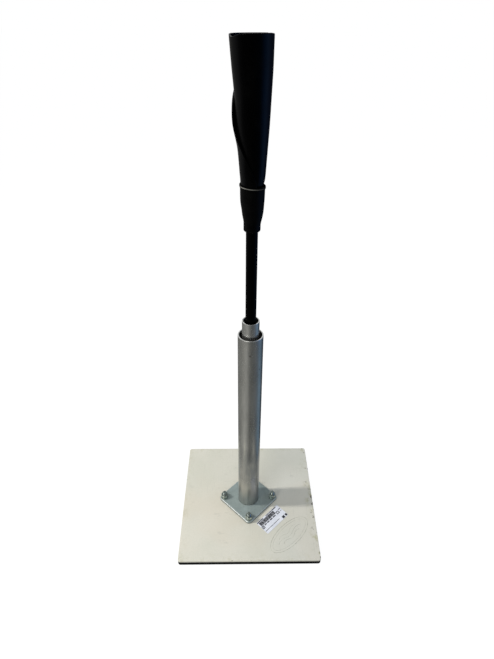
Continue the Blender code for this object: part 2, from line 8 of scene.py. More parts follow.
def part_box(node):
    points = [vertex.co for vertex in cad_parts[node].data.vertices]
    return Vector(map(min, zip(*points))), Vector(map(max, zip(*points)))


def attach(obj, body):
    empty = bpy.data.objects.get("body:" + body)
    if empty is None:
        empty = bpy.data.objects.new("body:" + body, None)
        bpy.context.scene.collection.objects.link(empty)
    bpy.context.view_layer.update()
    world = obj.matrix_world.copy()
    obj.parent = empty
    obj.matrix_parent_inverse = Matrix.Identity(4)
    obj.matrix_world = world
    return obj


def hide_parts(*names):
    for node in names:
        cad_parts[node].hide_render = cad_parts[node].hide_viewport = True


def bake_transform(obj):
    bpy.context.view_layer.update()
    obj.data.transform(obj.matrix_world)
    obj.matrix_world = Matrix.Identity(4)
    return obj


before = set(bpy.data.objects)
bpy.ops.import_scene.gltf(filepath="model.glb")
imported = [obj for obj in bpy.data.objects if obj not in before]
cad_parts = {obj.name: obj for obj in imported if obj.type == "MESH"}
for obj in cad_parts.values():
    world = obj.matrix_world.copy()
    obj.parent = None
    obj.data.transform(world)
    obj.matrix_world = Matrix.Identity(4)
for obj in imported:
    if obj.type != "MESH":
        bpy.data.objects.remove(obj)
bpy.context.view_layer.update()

MM = 0.001
TURN = 2 * math.pi

# Fineness
TUBE_STEPS = 144
SMALL_STEPS = 48
SHARP_ANGLE = math.radians(32)

# Camera: its lens, and where it stands
SENSOR_MM = 36
LENS_MM = 24.95
CAMERA_PLACE = Vector((-0.01995, -0.72922, 1.04516))
CAMERA_DOWN = math.radians(34.41)
CAMERA_YAW = math.radians(1.01)
CAMERA_ROLL = math.radians(0.45)


# ---------- places read from the frame
MAT_LOW, MAT_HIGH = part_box("rubber_mat")
BOARD_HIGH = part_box("base_board")[1]
SEAM = MAT_HIGH.z + 1 * MM    # where the mat meets the board
FLANGE_LOW, FLANGE_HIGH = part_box("flange_plate")
OUTER_LOW, OUTER_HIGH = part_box("outer_tube")
MIDDLE_LOW, MIDDLE_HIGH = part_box("middle_tube")
ROD_LOW, ROD_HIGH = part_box("rod")
BOOT_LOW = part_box("rubber_boot")[0]
SHEET_LOW, SHEET_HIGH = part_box("rolled_sheet")
HALF_BASE = BOARD_HIGH.x
OUTER_RADIUS = OUTER_HIGH.x
MIDDLE_RADIUS = MIDDLE_HIGH.x
ROD_RADIUS = ROD_HIGH.x
OUTER_WALL = 2.4 * MM
MIDDLE_WALL = 2 * MM
BOOT_TOP = BOOT_LOW.z + 77 * MM
BOOT_SLANT = math.tan(math.radians(4))    # the boot's lip hangs lower on its +X side
GAP = 0.3 * MM                # between pieces that touch
RUNNING_GAP = 0.4 * MM        # between pieces that slide in each other
CUT_PAST = 5 * MM             # how far a cutter passes a face
BASE_CORNER = 6 * MM
WELD_HOLE_RADIUS = 33 * MM
BOLT_RADIUS = 5 * MM
BOLT_HOLE_RADIUS = 5.5 * MM
HEAD_POCKET_RADIUS = 13.5 * MM
HEAD_POCKET_DEPTH = 6 * MM
NECK_HOLE_RADIUS = 7.6 * MM


def middle_of(node):
    low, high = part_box(node)
    return (low + high) / 2


BOLT_PLACES = [middle_of(f"carriage_bolt_{number}") for number in range(1, 5)]


# ---------- mesh helpers
def new_object(name, mesh):
    made = bpy.data.objects.new(name, mesh)
    bpy.context.scene.collection.objects.link(made)
    return made


def finish_mesh(shape, name, sharp=SHARP_ANGLE):
    mesh = bpy.data.meshes.new(name)
    shape.to_mesh(mesh)
    shape.free()
    mesh.shade_smooth()
    mesh.set_sharp_from_angle(angle=sharp)
    return mesh


def skin(name, sections, loop=False, sharp=SHARP_ANGLE):
    """A closed surface through closed cross-sections, looped round or capped at both ends."""
    shape = bmesh.new()
    rows = [[shape.verts.new(p) for p in section] for section in sections]
    pairs = list(zip(rows, rows[1:]))
    if loop:
        pairs.append((rows[-1], rows[0]))
    for a, b in pairs:
        for i in range(len(a)):
            j = (i + 1) % len(a)
            shape.faces.new((a[i], a[j], b[j], b[i]))
    if not loop:
        shape.faces.new(rows[0])
        shape.faces.new(rows[-1])
    bmesh.ops.remove_doubles(shape, verts=shape.verts, dist=1e-6)
    bmesh.ops.dissolve_degenerate(shape, edges=shape.edges, dist=1e-6)
    bmesh.ops.recalc_face_normals(shape, faces=shape.faces)
    return new_object(name, finish_mesh(shape, name, sharp))


def around(angle, radius, height, centre=(0, 0)):
    """A point at an angle counted from the front (-Y) towards +X."""
    return Vector((
        centre[0] + radius * math.sin(angle), centre[1] - radius * math.cos(angle), height))


def wrapped(angle, parts=1):
    """The angle from the nearest of so many directions, spread evenly from angle 0."""
    part = TURN / parts
    return (angle + part / 2) % part - part / 2


def lathe(name, outline, steps=TUBE_STEPS, tweak=None):
    """Turns a closed outline of (radius, height); tweak(radius, angle, height) may shape it."""
    sections = []
    for i in range(steps):
        angle = TURN * i / steps
        section = []
        for radius, height in outline:
            if tweak and radius > 0:
                radius = tweak(radius, angle, height)
            section.append(around(angle, radius, height))
        sections.append(section)
    return skin(name, sections, loop=True)


def rounded(outline, radius, segments=4):
    """The closed outline with its corners rounded, except those on the axis."""
    points = [Vector(p) for p in outline]
    made = []
    for i, corner in enumerate(points):
        before, after = points[i - 1] - corner, points[(i + 1) % len(points)] - corner
        if corner.x == 0:
            made.append(tuple(corner))
            continue
        cut = min(radius, before.length * 0.45, after.length * 0.45)
        start = corner + before.normalized() * cut
        end = corner + after.normalized() * cut
        for step in range(segments + 1):
            t = step / segments
            p = start * (1 - t) ** 2 + corner * 2 * t * (1 - t) + end * t ** 2
            made.append((p.x, p.y))
    return made


def ring_outline(inner, outer, low, high, rows=26):
    """A tube's section, with its long sides cut into rows."""
    outside = [(outer, high + (low - high) * i / rows) for i in range(rows + 1)]
    inside = [(inner, low + (high - low) * i / rows) for i in range(rows + 1)]
    return outside + inside


def finished_shape(made):
    """A new mesh of what a piece looks like with its modifiers, or of a curve."""
    graph = bpy.context.evaluated_depsgraph_get()
    return bpy.data.meshes.new_from_object(made.evaluated_get(graph))


def bake_modifiers(made):
    mesh = finished_shape(made)
    old = made.data
    made.modifiers.clear()
    made.data = mesh
    bpy.data.meshes.remove(old)
    return made


def keep_flats_flat(made):
    """Smooths the rounded edges only, so that the wide faces beside them shade flat."""
    made.data.shade_smooth()
    made.data.set_sharp_from_angle(angle=SHARP_ANGLE)
    flat = made.modifiers.new("flat_faces", "WEIGHTED_NORMAL")
    flat.keep_sharp = True
    return bake_modifiers(made)


def slab(name, size, corner, edge, low, turn=0.0, under_edge=0.0):
    """A plate with rounded corners and a rounded top rim, standing at height low."""
    shape = bmesh.new()
    bmesh.ops.create_cube(shape, size=1)
    bmesh.ops.scale(shape, vec=size, verts=shape.verts)
    bmesh.ops.translate(shape, vec=(0, 0, size[2] / 2), verts=shape.verts)
    upright = [e for e in shape.edges if abs(e.verts[0].co.z - e.verts[1].co.z) > size[2] / 2]
    bmesh.ops.bevel(shape, geom=upright, offset=corner, segments=10, profile=0.5, affect="EDGES")
    for width, at_top in ((edge, True), (under_edge, False)):
        if width:
            rim = [e for e in shape.edges
                   if all((v.co.z > size[2] / 2) == at_top for v in e.verts)]
            bmesh.ops.bevel(shape, geom=rim, offset=width, segments=5, profile=0.5, affect="EDGES")
    bmesh.ops.rotate(shape, matrix=Matrix.Rotation(turn, 3, "Z"), verts=shape.verts)
    bmesh.ops.translate(shape, vec=(0, 0, low), verts=shape.verts)
    return keep_flats_flat(new_object(name, finish_mesh(shape, name)))


def cutter(mesh_maker, **settings):
    """A shape to cut out of a piece, made by one of bmesh's own mesh makers."""
    shape = bmesh.new()
    mesh_maker(shape, **settings)
    mesh = bpy.data.meshes.new("cutter")
    shape.to_mesh(mesh)
    shape.free()
    return new_object("cutter", mesh)


def cut_away(made, tools):
    """Cuts the tools out of a piece and removes them."""
    for tool in tools:
        change = made.modifiers.new("cut", "BOOLEAN")
        change.operation = "DIFFERENCE"
        change.solver = "EXACT"
        change.material_mode = "TRANSFER"
        change.object = tool
    bake_modifiers(made)
    for tool in tools:
        bpy.data.objects.remove(tool)
    return keep_flats_flat(made)


def drill(radius, spot, low, high, steps=SMALL_STEPS):
    return cutter(
        bmesh.ops.create_cone, cap_ends=True, segments=steps, radius1=radius, radius2=radius,
        depth=high - low, matrix=Matrix.Translation((spot[0], spot[1], (low + high) / 2)))


def wire(name, points, radius, closed=False):
    """A thin tube along the points, as a mesh."""
    curve = bpy.data.curves.new(name, "CURVE")
    curve.dimensions = "3D"
    curve.bevel_depth = radius
    curve.bevel_resolution = 3
    curve.use_fill_caps = True
    line = curve.splines.new("POLY")
    line.points.add(len(points) - 1)
    for target, p in zip(line.points, points):
        target.co = (*p, 1)
    line.use_cyclic_u = closed
    made = new_object(name, curve)
    mesh = finished_shape(made)
    bpy.data.objects.remove(made)
    shape = bmesh.new()
    shape.from_mesh(mesh)
    bmesh.ops.remove_doubles(shape, verts=shape.verts, dist=1e-6)
    bpy.data.meshes.remove(mesh)
    return new_object(name, finish_mesh(shape, name, math.radians(60)))


def smooth_step(value, low, high):
    t = min(max((value - low) / (high - low), 0.0), 1.0)
    return t * t * (3 - 2 * t)


# ---------- materials
class Nodes:
    """Builds nodes in one node tree."""

    def __init__(self, tree, coordinates):
        self.tree = tree
        self.place = self.add("ShaderNodeTexCoord").outputs[coordinates]

    def add(self, kind, inputs=(), **settings):
        node = self.tree.nodes.new(kind)
        for key, value in settings.items():
            setattr(node, key, value)
        for key, value in dict(inputs).items():
            self.feed(node.inputs[key], value)
        return node

    def feed(self, socket, value):
        """Links a socket, or sets it to a number or a colour."""
        if isinstance(value, bpy.types.NodeSocket):
            self.tree.links.new(value, socket)
        elif isinstance(value, tuple) and socket.type == "RGBA":
            socket.default_value = (*value, 1)
        else:
            socket.default_value = value

    def moved(self, scale=(1, 1, 1), turn=0.0, shift=(0, 0, 0)):
        node = self.add("ShaderNodeMapping", {
            "Vector": self.place, "Scale": scale, "Rotation": (0, 0, turn), "Location": shift})
        return node.outputs[0]

    def noise(self, scale, detail=4.0, rough=0.55, stretch=(1, 1, 1), turn=0.0, shift=(0, 0, 0)):
        """Fractal noise from about 0.3 to 0.7, with features about 1/scale metres wide."""
        node = self.add("ShaderNodeTexNoise", {
            "Vector": self.moved(stretch, turn, shift), "Scale": scale, "Detail": detail,
            "Roughness": rough})
        return node.outputs["Fac"]

    def cells(self, scale, output="Distance", stretch=(1, 1, 1)):
        node = self.add("ShaderNodeTexVoronoi", {"Vector": self.moved(stretch), "Scale": scale})
        return node.outputs[output]

    def band(self, value, low, high):
        """0 below low and 1 above high, or the other way round if low is above high."""
        node = self.add("ShaderNodeMapRange", {
            "Value": value, "From Min": low, "From Max": high, "To Min": 0.0, "To Max": 1.0},
            interpolation_type="SMOOTHSTEP")
        return node.outputs[0]

    def patches(self, low, high, *settings, **more):
        """Soft-edged patches: 0 where a noise with these settings is below low, 1 above high."""
        return self.band(self.noise(*settings, **more), low, high)

    def scaled(self, value, low, high):
        """Stretches a 0-to-1 value to run from low to high."""
        node = self.add("ShaderNodeMapRange", {
            "Value": value, "From Min": 0.0, "From Max": 1.0, "To Min": low, "To Max": high})
        return node.outputs[0]

    def number(self, operation, a, b=0.0):
        return self.add("ShaderNodeMath", {0: a, 1: b}, operation=operation).outputs[0]

    def times(self, a, b):
        return self.number("MULTIPLY", a, b)

    def axis(self, name):
        return self.add("ShaderNodeSeparateXYZ", {0: self.place}).outputs[name]

    def mix(self, amount, a, b):
        node = self.add(
            "ShaderNodeMix", {0: amount, 6: a, 7: b}, data_type="RGBA", clamp_factor=True)
        return node.outputs[2]

    def layered(self, colour, *layers):
        """Lays tints over a colour; a layer is its mask, how strongly it covers, and its tint."""
        for mask, amount, tint in layers:
            colour = self.mix(self.scaled(mask, 0.0, amount), colour, tint)
        return colour

    def ramp(self, value, stops):
        """A colour for each value, smooth between the stops."""
        node = self.add("ShaderNodeValToRGB", {"Fac": value})
        elements = node.color_ramp.elements
        while len(elements) < len(stops):
            elements.new(1.0)
        for element, (position, colour) in zip(elements, stops):
            element.position = position
            element.color = (*colour, 1)
        return node.outputs["Color"]


class Surface(Nodes):
    """A procedural material on one Principled shader, in the piece's own coordinates."""

    def __init__(self, name):
        self.material = bpy.data.materials.new(name)
        self.material.use_nodes = True
        super().__init__(self.material.node_tree, "Object")
        self.shader = self.tree.nodes["Principled BSDF"]

    def bump(self, *layers):
        """Adds bumps: each layer is a height, its strength and its depth in metres."""
        normal = None
        for height, strength, depth in layers:
            inputs = {"Height": height, "Strength": strength, "Distance": depth}
            if normal:
                inputs["Normal"] = normal
            normal = self.add("ShaderNodeBump", inputs).outputs[0]
        self.tree.links.new(normal, self.shader.inputs["Normal"])

    def set(self, **values):
        names = {
            "colour": "Base Color", "roughness": "Roughness", "metallic": "Metallic",
            "specular": "Specular IOR Level"}
        for key, value in values.items():
            self.feed(self.shader.inputs[names[key]], value)


def scratches(look, turns, fineness, length):
    """Hairline scratches in a few directions, as a 0-to-1 mask."""
    total = 0.0
    for number, turn in enumerate(turns):
        lines = look.noise(
            1.0, 3.0, 0.6, (fineness, length, length), turn, (number * 3.1, number * 1.7, 0))
        total = look.number("MAXIMUM", look.band(lines, 0.66, 0.695), total)
    return look.times(total, look.band(look.noise(9.0, 3.0), 0.46, 0.62))


def board_material():
    look = Surface("off_white_board")
    mottle = look.patches(0.36, 0.66, 7.0, 5.0, 0.6)
    speck = look.patches(0.35, 0.65, 420.0, 3.0, 0.6)
    warm = look.patches(0.50, 0.66, 4.2, 3.0, 0.5, shift=(2.3, 0.4, 0))
    marks = scratches(look, (0.35, 1.25, 2.30), 520.0, 11.0)
    scuffs = look.patches(0.60, 0.70, 26.0, 6.0, 0.7, (1, 2.2, 1), 0.7)
    x, y = look.axis("X"), look.axis("Y")
    from_edge = look.number("MAXIMUM", look.number("ABSOLUTE", x), look.number("ABSOLUTE", y))
    near_edge = look.band(from_edge, HALF_BASE - 22 * MM, HALF_BASE)
    near_right = look.band(x, HALF_BASE - 26 * MM, HALF_BASE - 2 * MM)
    near = look.number("MAXIMUM", look.scaled(near_edge, 0.0, 0.35), near_right)
    grime = look.times(look.patches(0.50, 0.66, 55.0, 6.0, 0.75, (1, 0.7, 1)), near)
    dark = look.times(look.patches(0.60, 0.68, 75.0, 5.0, 0.7, shift=(1.1, 5.2, 0)), near_right)
    colour = look.layered(
        look.mix(mottle, (0.725, 0.705, 0.625), (0.665, 0.655, 0.570)),
        (speck, 0.22, (0.56, 0.55, 0.47)),
        (warm, 0.35, (0.72, 0.655, 0.55)),
        (marks, 0.45, (0.45, 0.44, 0.38)),
        (scuffs, 0.30, (0.48, 0.47, 0.41)),
        # painted shade: the board cooler and darker towards +X, away from the key light
        (look.band(x, 0.0, 0.12), 0.12, (0.44, 0.50, 0.56)),
        (grime, 0.80, (0.40, 0.385, 0.21)),
        (dark, 0.9, (0.075, 0.065, 0.045)))
    look.set(colour=colour, roughness=look.scaled(mottle, 0.50, 0.64), specular=0.35)
    look.bump((speck, 0.10, 0.0004), (marks, -0.12, 0.0002), (mottle, 0.05, 0.002))
    return look.material


def grainy_material(name, grain_settings, colours, roughness, bump):
    """Two colours mixed by one grain, which also makes the bumps."""
    look = Surface(name)
    grain = look.patches(*grain_settings)
    look.set(colour=look.mix(grain, *colours), roughness=roughness)
    look.bump((grain, *bump))
    return look.material


def label_material():
    look = Surface("label_film")
    fade = look.patches(0.38, 0.64, 40.0, 4.0)
    rub = scratches(look, (0.5, 1.9), 700.0, 30.0)
    colour = look.layered(
        look.mix(fade, (0.83, 0.85, 0.92), (0.73, 0.75, 0.83)), (rub, 0.5, (0.40, 0.42, 0.50)))
    look.set(colour=colour, roughness=look.scaled(fade, 0.32, 0.46))
    look.bump((look.noise(900.0, 2.0), 0.06, 0.0002))
    return look.material


def zinc_plate_material():
    """Dull zinc, with a painted highlight on its upper left rim, painted shade on its sides and a
    painted shadow of the tube on its top towards +X.
    """
    look = Surface("zinc_plate")
    x, y, z = look.axis("X"), look.axis("Y"), look.axis("Z")
    cell = look.add("ShaderNodeSeparateColor", {0: look.cells(85.0, "Color")}).outputs[0]
    cloud = look.patches(0.36, 0.66, 24.0, 5.0, 0.65)
    fine = look.patches(0.34, 0.66, 520.0, 4.0, 0.7)
    marks = scratches(look, (0.2, 1.1, 2.6), 900.0, 16.0)
    spots = look.patches(0.66, 0.72, 150.0, 4.0, 0.7, shift=(4, 1, 0))
    turned = look.number("ADD", look.number("ABSOLUTE", x), look.number("ABSOLUTE", y))
    # painted highlight: a pale, shinier and more metallic band along the upper rim, strongest at -X
    rim = look.band(turned, FLANGE_HIGH.x + 1.0 * MM, FLANGE_HIGH.x + 2.0 * MM)
    upper = look.band(z, FLANGE_HIGH.z - 1.9 * MM, FLANGE_HIGH.z - 1.3 * MM)
    left = look.scaled(look.band(x, 8 * MM, -8 * MM), 0.25, 1.0)
    painted_rim_highlight = look.times(look.times(rim, upper), left)
    # painted shade: the plate's sides below the rounded rim darker
    side = look.band(z, FLANGE_HIGH.z - 2.4 * MM, FLANGE_HIGH.z - 3.2 * MM)
    colour = look.layered(
        look.mix(look.scaled(cell, 0.25, 0.75), (0.300, 0.362, 0.355), (0.370, 0.440, 0.434)),
        (cloud, 0.45, (0.225, 0.270, 0.257)),
        (fine, 0.20, (0.17, 0.20, 0.19)),
        # painted shadow of the tube across the plate's top towards +X
        (look.band(x, 18 * MM, 46 * MM), 0.32, (0.12, 0.15, 0.14)),
        (marks, 0.5, (0.62, 0.64, 0.63)),
        (spots, 0.6, (0.14, 0.12, 0.09)),
        (painted_rim_highlight, 1.0, (0.84, 0.87, 0.86)),
        (side, 0.8, (0.09, 0.11, 0.105)))
    rough = look.number("ADD", look.scaled(cell, 0.38, 0.46), look.scaled(cloud, 0.0, 0.12))
    rough = look.number("SUBTRACT", rough, look.scaled(painted_rim_highlight, 0.0, 0.22))
    look.set(colour=colour, metallic=look.scaled(painted_rim_highlight, 0.2, 1.0), roughness=rough)
    look.bump((fine, 0.10, 0.0004), (cell, 0.03, 0.0004), (marks, -0.10, 0.0002))
    return look.material


def hardware_material():
    look = Surface("zinc_hardware")
    cloud = look.patches(0.36, 0.66, 180.0, 5.0, 0.65)
    fine = look.patches(0.34, 0.66, 1600.0, 3.0, 0.7)
    colour = look.layered(
        look.mix(cloud, (0.56, 0.62, 0.58), (0.32, 0.37, 0.35)), (fine, 0.3, (0.20, 0.23, 0.21)))
    look.set(colour=colour, metallic=1.0, roughness=look.scaled(cloud, 0.15, 0.28))
    look.bump((fine, 0.12, 0.0002))
    return look.material


# The dulled stretch at the outer tube's foot: where it starts, is whole, fades and has gone
DULL_HEIGHTS = (85 * MM, 125 * MM, 195 * MM, 245 * MM)


def tube_material(name, tint, dull_foot, top, dents=()):
    """Drawn steel: fine streaks along the tube, blotches, pits, a duller foot with painted shade on
    its +X side, and a painted highlight at its top end.
    """
    look = Surface(name)
    height = look.axis("Z")
    light, dark, streaked = [tuple(c * share for c in tint) for share in (1.12, 0.84, 0.72)]
    streak = look.patches(0.36, 0.66, 1.0, 5.0, 0.65, (260, 260, 5))
    haze = look.patches(0.36, 0.66, 1.0, 5.0, 0.6, (34, 34, 11))
    fine = look.patches(0.34, 0.66, 1400.0, 3.0, 0.7, (1, 1, 0.15))
    start, whole, fading, gone = DULL_HEIGHTS
    foot = look.times(look.band(height, gone, fading), look.band(height, start, whole))
    patch = look.patches(0.40, 0.62, 1.0, 4.0, 0.6, (60, 60, 22))
    dull = look.times(foot, look.scaled(patch, 0.60 * dull_foot, 0.95 * dull_foot))
    # painted shade: the dull foot darker again on its +X side, away from the key light
    shaded = look.times(dull, look.band(look.axis("X"), -12 * MM, 4 * MM))
    rubs = look.patches(0.62, 0.68, 1.0, 4.0, 0.7, (900, 900, 16))
    pits = look.band(look.cells(44.0, stretch=(1, 1, 0.6)), 0.060, 0.035)
    pits = look.times(pits, look.patches(0.50, 0.56, 16.0, 2.0, shift=(0, 0, 3.0)))
    for dent in dents:
        away = look.add("ShaderNodeVectorMath", {0: look.place, 1: dent}, operation="DISTANCE")
        pits = look.number("MAXIMUM", pits, look.band(away.outputs["Value"], 1.9 * MM, 1.1 * MM))
    colour = look.layered(
        look.mix(haze, light, dark),
        (streak, 0.35, streaked),
        (dull, 1.0, (0.255, 0.268, 0.282)),
        (shaded, 0.25, (0.10, 0.11, 0.12)),
        (rubs, 0.35, (0.74, 0.74, 0.71)),
        (pits, 0.8, (0.05, 0.045, 0.04)),
        # painted highlight: a pale band just below the tube's top end
        (look.band(height, top - 0.6 * MM, top - 0.3 * MM), 1.0, (0.80, 0.80, 0.78)))
    foot_rough = look.times(look.band(height, 170 * MM, 30 * MM), 0.16 * dull_foot)
    rough = look.number("ADD", look.scaled(haze, 0.21, 0.28), foot_rough)
    look.set(colour=colour, metallic=0.92, roughness=rough)
    look.bump((fine, 0.06, 0.0003), (streak, 0.03, 0.0005), (pits, -0.5, 0.0004))
    return look.material


def rubber_material(name, shade, rough, dust, grain=1.0, specular=0.3, lip_highlight_ring=None):
    """Black rubber with a fine grain, faint bloom and scuffs, and maybe a painted highlight: a grey
    ring round a lip.
    """
    look = Surface(name)
    bloom = look.patches(0.40, 0.68, 30.0, 5.0, 0.65)
    fine = look.patches(0.32, 0.68, 1500.0, 3.0, 0.65)
    pebble = look.patches(0.34, 0.66, 420.0, 3.0, 0.6)
    scuff = look.patches(0.61, 0.69, 1.0, 5.0, 0.7, (150, 150, 34))
    colour = look.layered(
        (shade, shade, shade * 1.08),
        (bloom, 0.6, (shade + dust, shade + dust, shade + dust * 1.02)),
        (scuff, 0.35, (shade + dust * 2,) * 3))
    # painted highlight: a patchy grey ring round the lip, strongest at -X towards the key light
    if lip_highlight_ring:
        height, slant = lip_highlight_ring
        x = look.axis("X")
        level = look.number("ADD", look.axis("Z"), look.times(x, slant))
        off = look.number("ABSOLUTE", look.number("SUBTRACT", level, height))
        side = look.scaled(look.band(x, 12 * MM, -4 * MM), 0.25, 1.0)
        painted_lip_highlight = look.times(look.band(off, 0.85 * MM, 0.2 * MM), side)
        patchy = look.scaled(look.patches(0.38, 0.60, 70.0, 3.0), 0.55, 1.0)
        colour = look.mix(look.times(painted_lip_highlight, patchy), colour, (0.23, 0.225, 0.205))
    wear = look.scaled(bloom, rough - 0.05, rough + 0.07)
    wear = look.number("ADD", wear, look.scaled(fine, 0.0, 0.06))
    look.set(colour=colour, specular=specular, roughness=wear)
    look.bump((fine, 0.10 * grain, 0.0003), (pebble, 0.10 * grain, 0.0005), (bloom, 0.04, 0.002))
    return look.material


def weld_material():
    look = Surface("weld_bead")
    ripple = look.patches(0.36, 0.64, 260.0, 3.0, 0.5)
    look.set(colour=look.mix(ripple, (0.16, 0.15, 0.14), (0.30, 0.27, 0.22)), metallic=0.8,
             roughness=look.scaled(ripple, 0.45, 0.65))
    look.bump((ripple, 0.4, 0.0006))
    return look.material


MATERIALS = {
    "board": board_material(),
    "board_core": grainy_material(
        "board_core", (0.35, 0.65, 260.0, 5.0, 0.7), ((0.060, 0.050, 0.032), (0.19, 0.165, 0.10)),
        0.85, (0.5, 0.0006)),
    "scribe": grainy_material(
        "scribed_line", (0.40, 0.62, 90.0, 4.0, 0.65), ((0.33, 0.33, 0.27), (0.56, 0.56, 0.47)),
        0.7, (0.2, 0.0002)),
    "label": label_material(),
    "print": grainy_material(
        "label_print", (0.46, 0.66, 330.0, 4.0, 0.7),
        ((0.008, 0.008, 0.012), (0.0956, 0.0986, 0.1164)), 0.5, (0.1, 0.0001)),
    "plate": zinc_plate_material(),
    "hardware": hardware_material(),
    "outer_steel": tube_material(
        "outer_tube_steel", (0.46, 0.46, 0.44), 1.0, OUTER_HIGH.z,
        (around(math.radians(-3), OUTER_RADIUS, OUTER_HIGH.z - 34.6 * MM),
         around(math.radians(45), OUTER_RADIUS, OUTER_HIGH.z - 73 * MM))),
    "middle_steel": tube_material("middle_tube_steel", (0.50, 0.50, 0.49), 0.0, MIDDLE_HIGH.z),
    "weld": weld_material(),
    "mat": rubber_material("mat_rubber", 0.003, 0.70, 0.004, 1.6, 0.12),
    "seal": rubber_material("seal_rubber", 0.008, 0.45, 0.006),
    "nylon": rubber_material("black_nylon", 0.002, 0.50, 0.003, 0.5, 0.06),
    "rod": rubber_material("rod_black", 0.0003, 0.36, 0.0006, 0.4, 0.03),
    "boot": rubber_material("boot_rubber", 0.0006, 0.44, 0.0018, 0.9, 0.045,
                            (BOOT_TOP - 2.3 * MM, BOOT_SLANT)),
    "roll": rubber_material("roll_rubber", 0.0003, 0.28, 0.0006, 0.7, 0.07),
}


def place(made, body, material=None, replaces=()):
    """Gives a piece its material and the body that it moves with."""
    if material:
        made.data.materials.clear()
        made.data.materials.append(MATERIALS[material])
    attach(made, body)
    if replaces:
        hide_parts(*replaces)
    return made


# ---------- base
def build_mat():
    """The rubber mat: a rounded slab with square tread pads under it and four bolt pockets."""
    side = 2 * HALF_BASE
    mat = slab("mat", (side, side, SEAM - MAT_LOW.z), BASE_CORNER, 0.4 * MM, MAT_LOW.z,
               under_edge=1.5 * MM)
    pitch, width, depth, margin = 18 * MM, 2.2 * MM, 1.2 * MM, 10 * MM
    count = 8
    grooves = []
    for i in range(-count, count + 1):
        for axis in (0, 1):
            size = [width, width, 2 * depth]
            size[axis] = side - 2 * margin
            at = [0, 0, MAT_LOW.z]
            at[1 - axis] = i * pitch
            grooves.append(cutter(
                bmesh.ops.create_cube, size=1,
                matrix=Matrix.Translation(at) @ Matrix.Diagonal((*size, 1))))
    tools = [merge_cutters(grooves)]
    low = MAT_LOW.z - CUT_PAST
    for spot in BOLT_PLACES:
        tools.append(drill(HEAD_POCKET_RADIUS, spot, low, MAT_LOW.z + HEAD_POCKET_DEPTH))
        tools.append(drill(NECK_HOLE_RADIUS, spot, low, SEAM + CUT_PAST))
    cut_away(mat, tools)
    place(mat, "base", "mat", ["rubber_mat"])


def merge_cutters(tools):
    """Joins crossing cutters into one solid, so that the piece is cut once."""
    first = tools[0]
    for tool in tools[1:]:
        join = first.modifiers.new("join", "BOOLEAN")
        join.operation = "UNION"
        join.solver = "EXACT"
        join.object = tool
    bake_modifiers(first)
    for tool in tools[1:]:
        bpy.data.objects.remove(tool)
    return first


# Chips in the board's rim in millimetres: (quarter, past the edge, along the edge, radius), with
# the quarters counted from the +X side towards +Y
CHIPS = (
    (0, 1.0, 26, 3.0), (0, 1.0, 3, 4.6), (0, 0.5, -19, 5.0), (0, 2.0, -35, 3.0), (0, 1.0, 92, 2.8),
    (0, 1.0, 128, 2.6), (0, 1.5, -98, 3.0), (0, 1.0, -147, 3.2), (0, 0.5, -159, 3.0),
    (2, 1.0, -58, 2.2), (3, 1.2, -40, 2.0), (1, 0.0, -157, 2.6),
)


def chip_cutter(spot, radius, seed):
    """A rough lump at the board's rim, which leaves a chip with the board's core showing."""
    chip = cutter(bmesh.ops.create_icosphere, subdivisions=3, radius=radius)
    for v in chip.data.vertices:
        v.co *= 1 + 0.55 * noise.noise(v.co * (1.1 / radius) + Vector((seed, seed * 2.3, 0)))
        v.co.z *= 0.7
    chip.data.transform(Matrix.Translation((*spot, BOARD_HIGH.z + radius * 0.25)))
    chip.data.materials.append(MATERIALS["board_core"])
    return chip


def build_board():
    """The off-white board, chipped at its rim, with holes for the bolts and the weld."""
    side = 2 * HALF_BASE
    board = slab("board", (side, side, BOARD_HIGH.z - SEAM), BASE_CORNER, 0.9 * MM, SEAM,
                 under_edge=0.3 * MM)
    board.data.materials.append(MATERIALS["board"])
    low, high = SEAM - CUT_PAST, BOARD_HIGH.z + CUT_PAST
    tools = [drill(BOLT_HOLE_RADIUS, spot, low, high) for spot in BOLT_PLACES]
    tools.append(drill(WELD_HOLE_RADIUS, (0, 0), low, high, TUBE_STEPS))
    for seed, (quarter, past, along, radius) in enumerate(CHIPS):
        turn = Matrix.Rotation(quarter * TURN / 4, 2)
        spot = turn @ Vector((HALF_BASE + past * MM, along * MM))
        tools.append(chip_cutter(spot, radius * MM, seed))
    cut_away(board, tools)
    place(board, "base", replaces=["base_board"])


def build_oval_mark():
    """Two plain ovals and three waves, scribed into the board."""
    centre = Vector((97.5 * MM, -100.8 * MM))
    turn = Matrix.Rotation(math.radians(43.7), 2)
    level = BOARD_HIGH.z - 0.62 * MM
    crest = 3 * MM

    def on_board(u, v):
        p = centre + turn @ Vector((u, v))
        return (p.x, p.y, level)

    def oval(half_long, half_short, steps=96):
        angles = [TURN * i / steps for i in range(steps)]
        return [on_board(half_long * math.cos(a), half_short * math.sin(a)) for a in angles]

    def wave(v, half, steps=40):
        shares = [i / steps for i in range(steps + 1)]
        return [on_board(half * (2 * t - 1), v + crest * math.sin(TURN * 1.5 * t)) for t in shares]

    for name, points, radius, closed in (
        ("outer", oval(60.8 * MM, 26.1 * MM), 0.80 * MM, True),
        ("inner", oval(54.5 * MM, 20.6 * MM), 0.672 * MM, True),
        ("wave_1", wave(7.5 * MM, 28 * MM), 0.704 * MM, False),
        ("wave_2", wave(0, 38 * MM), 0.704 * MM, False),
        ("wave_3", wave(-7.5 * MM, 28 * MM), 0.704 * MM, False),
    ):
        line = wire(f"oval_mark_{name}", points, radius, closed)
        place(line, "base", "scribe")


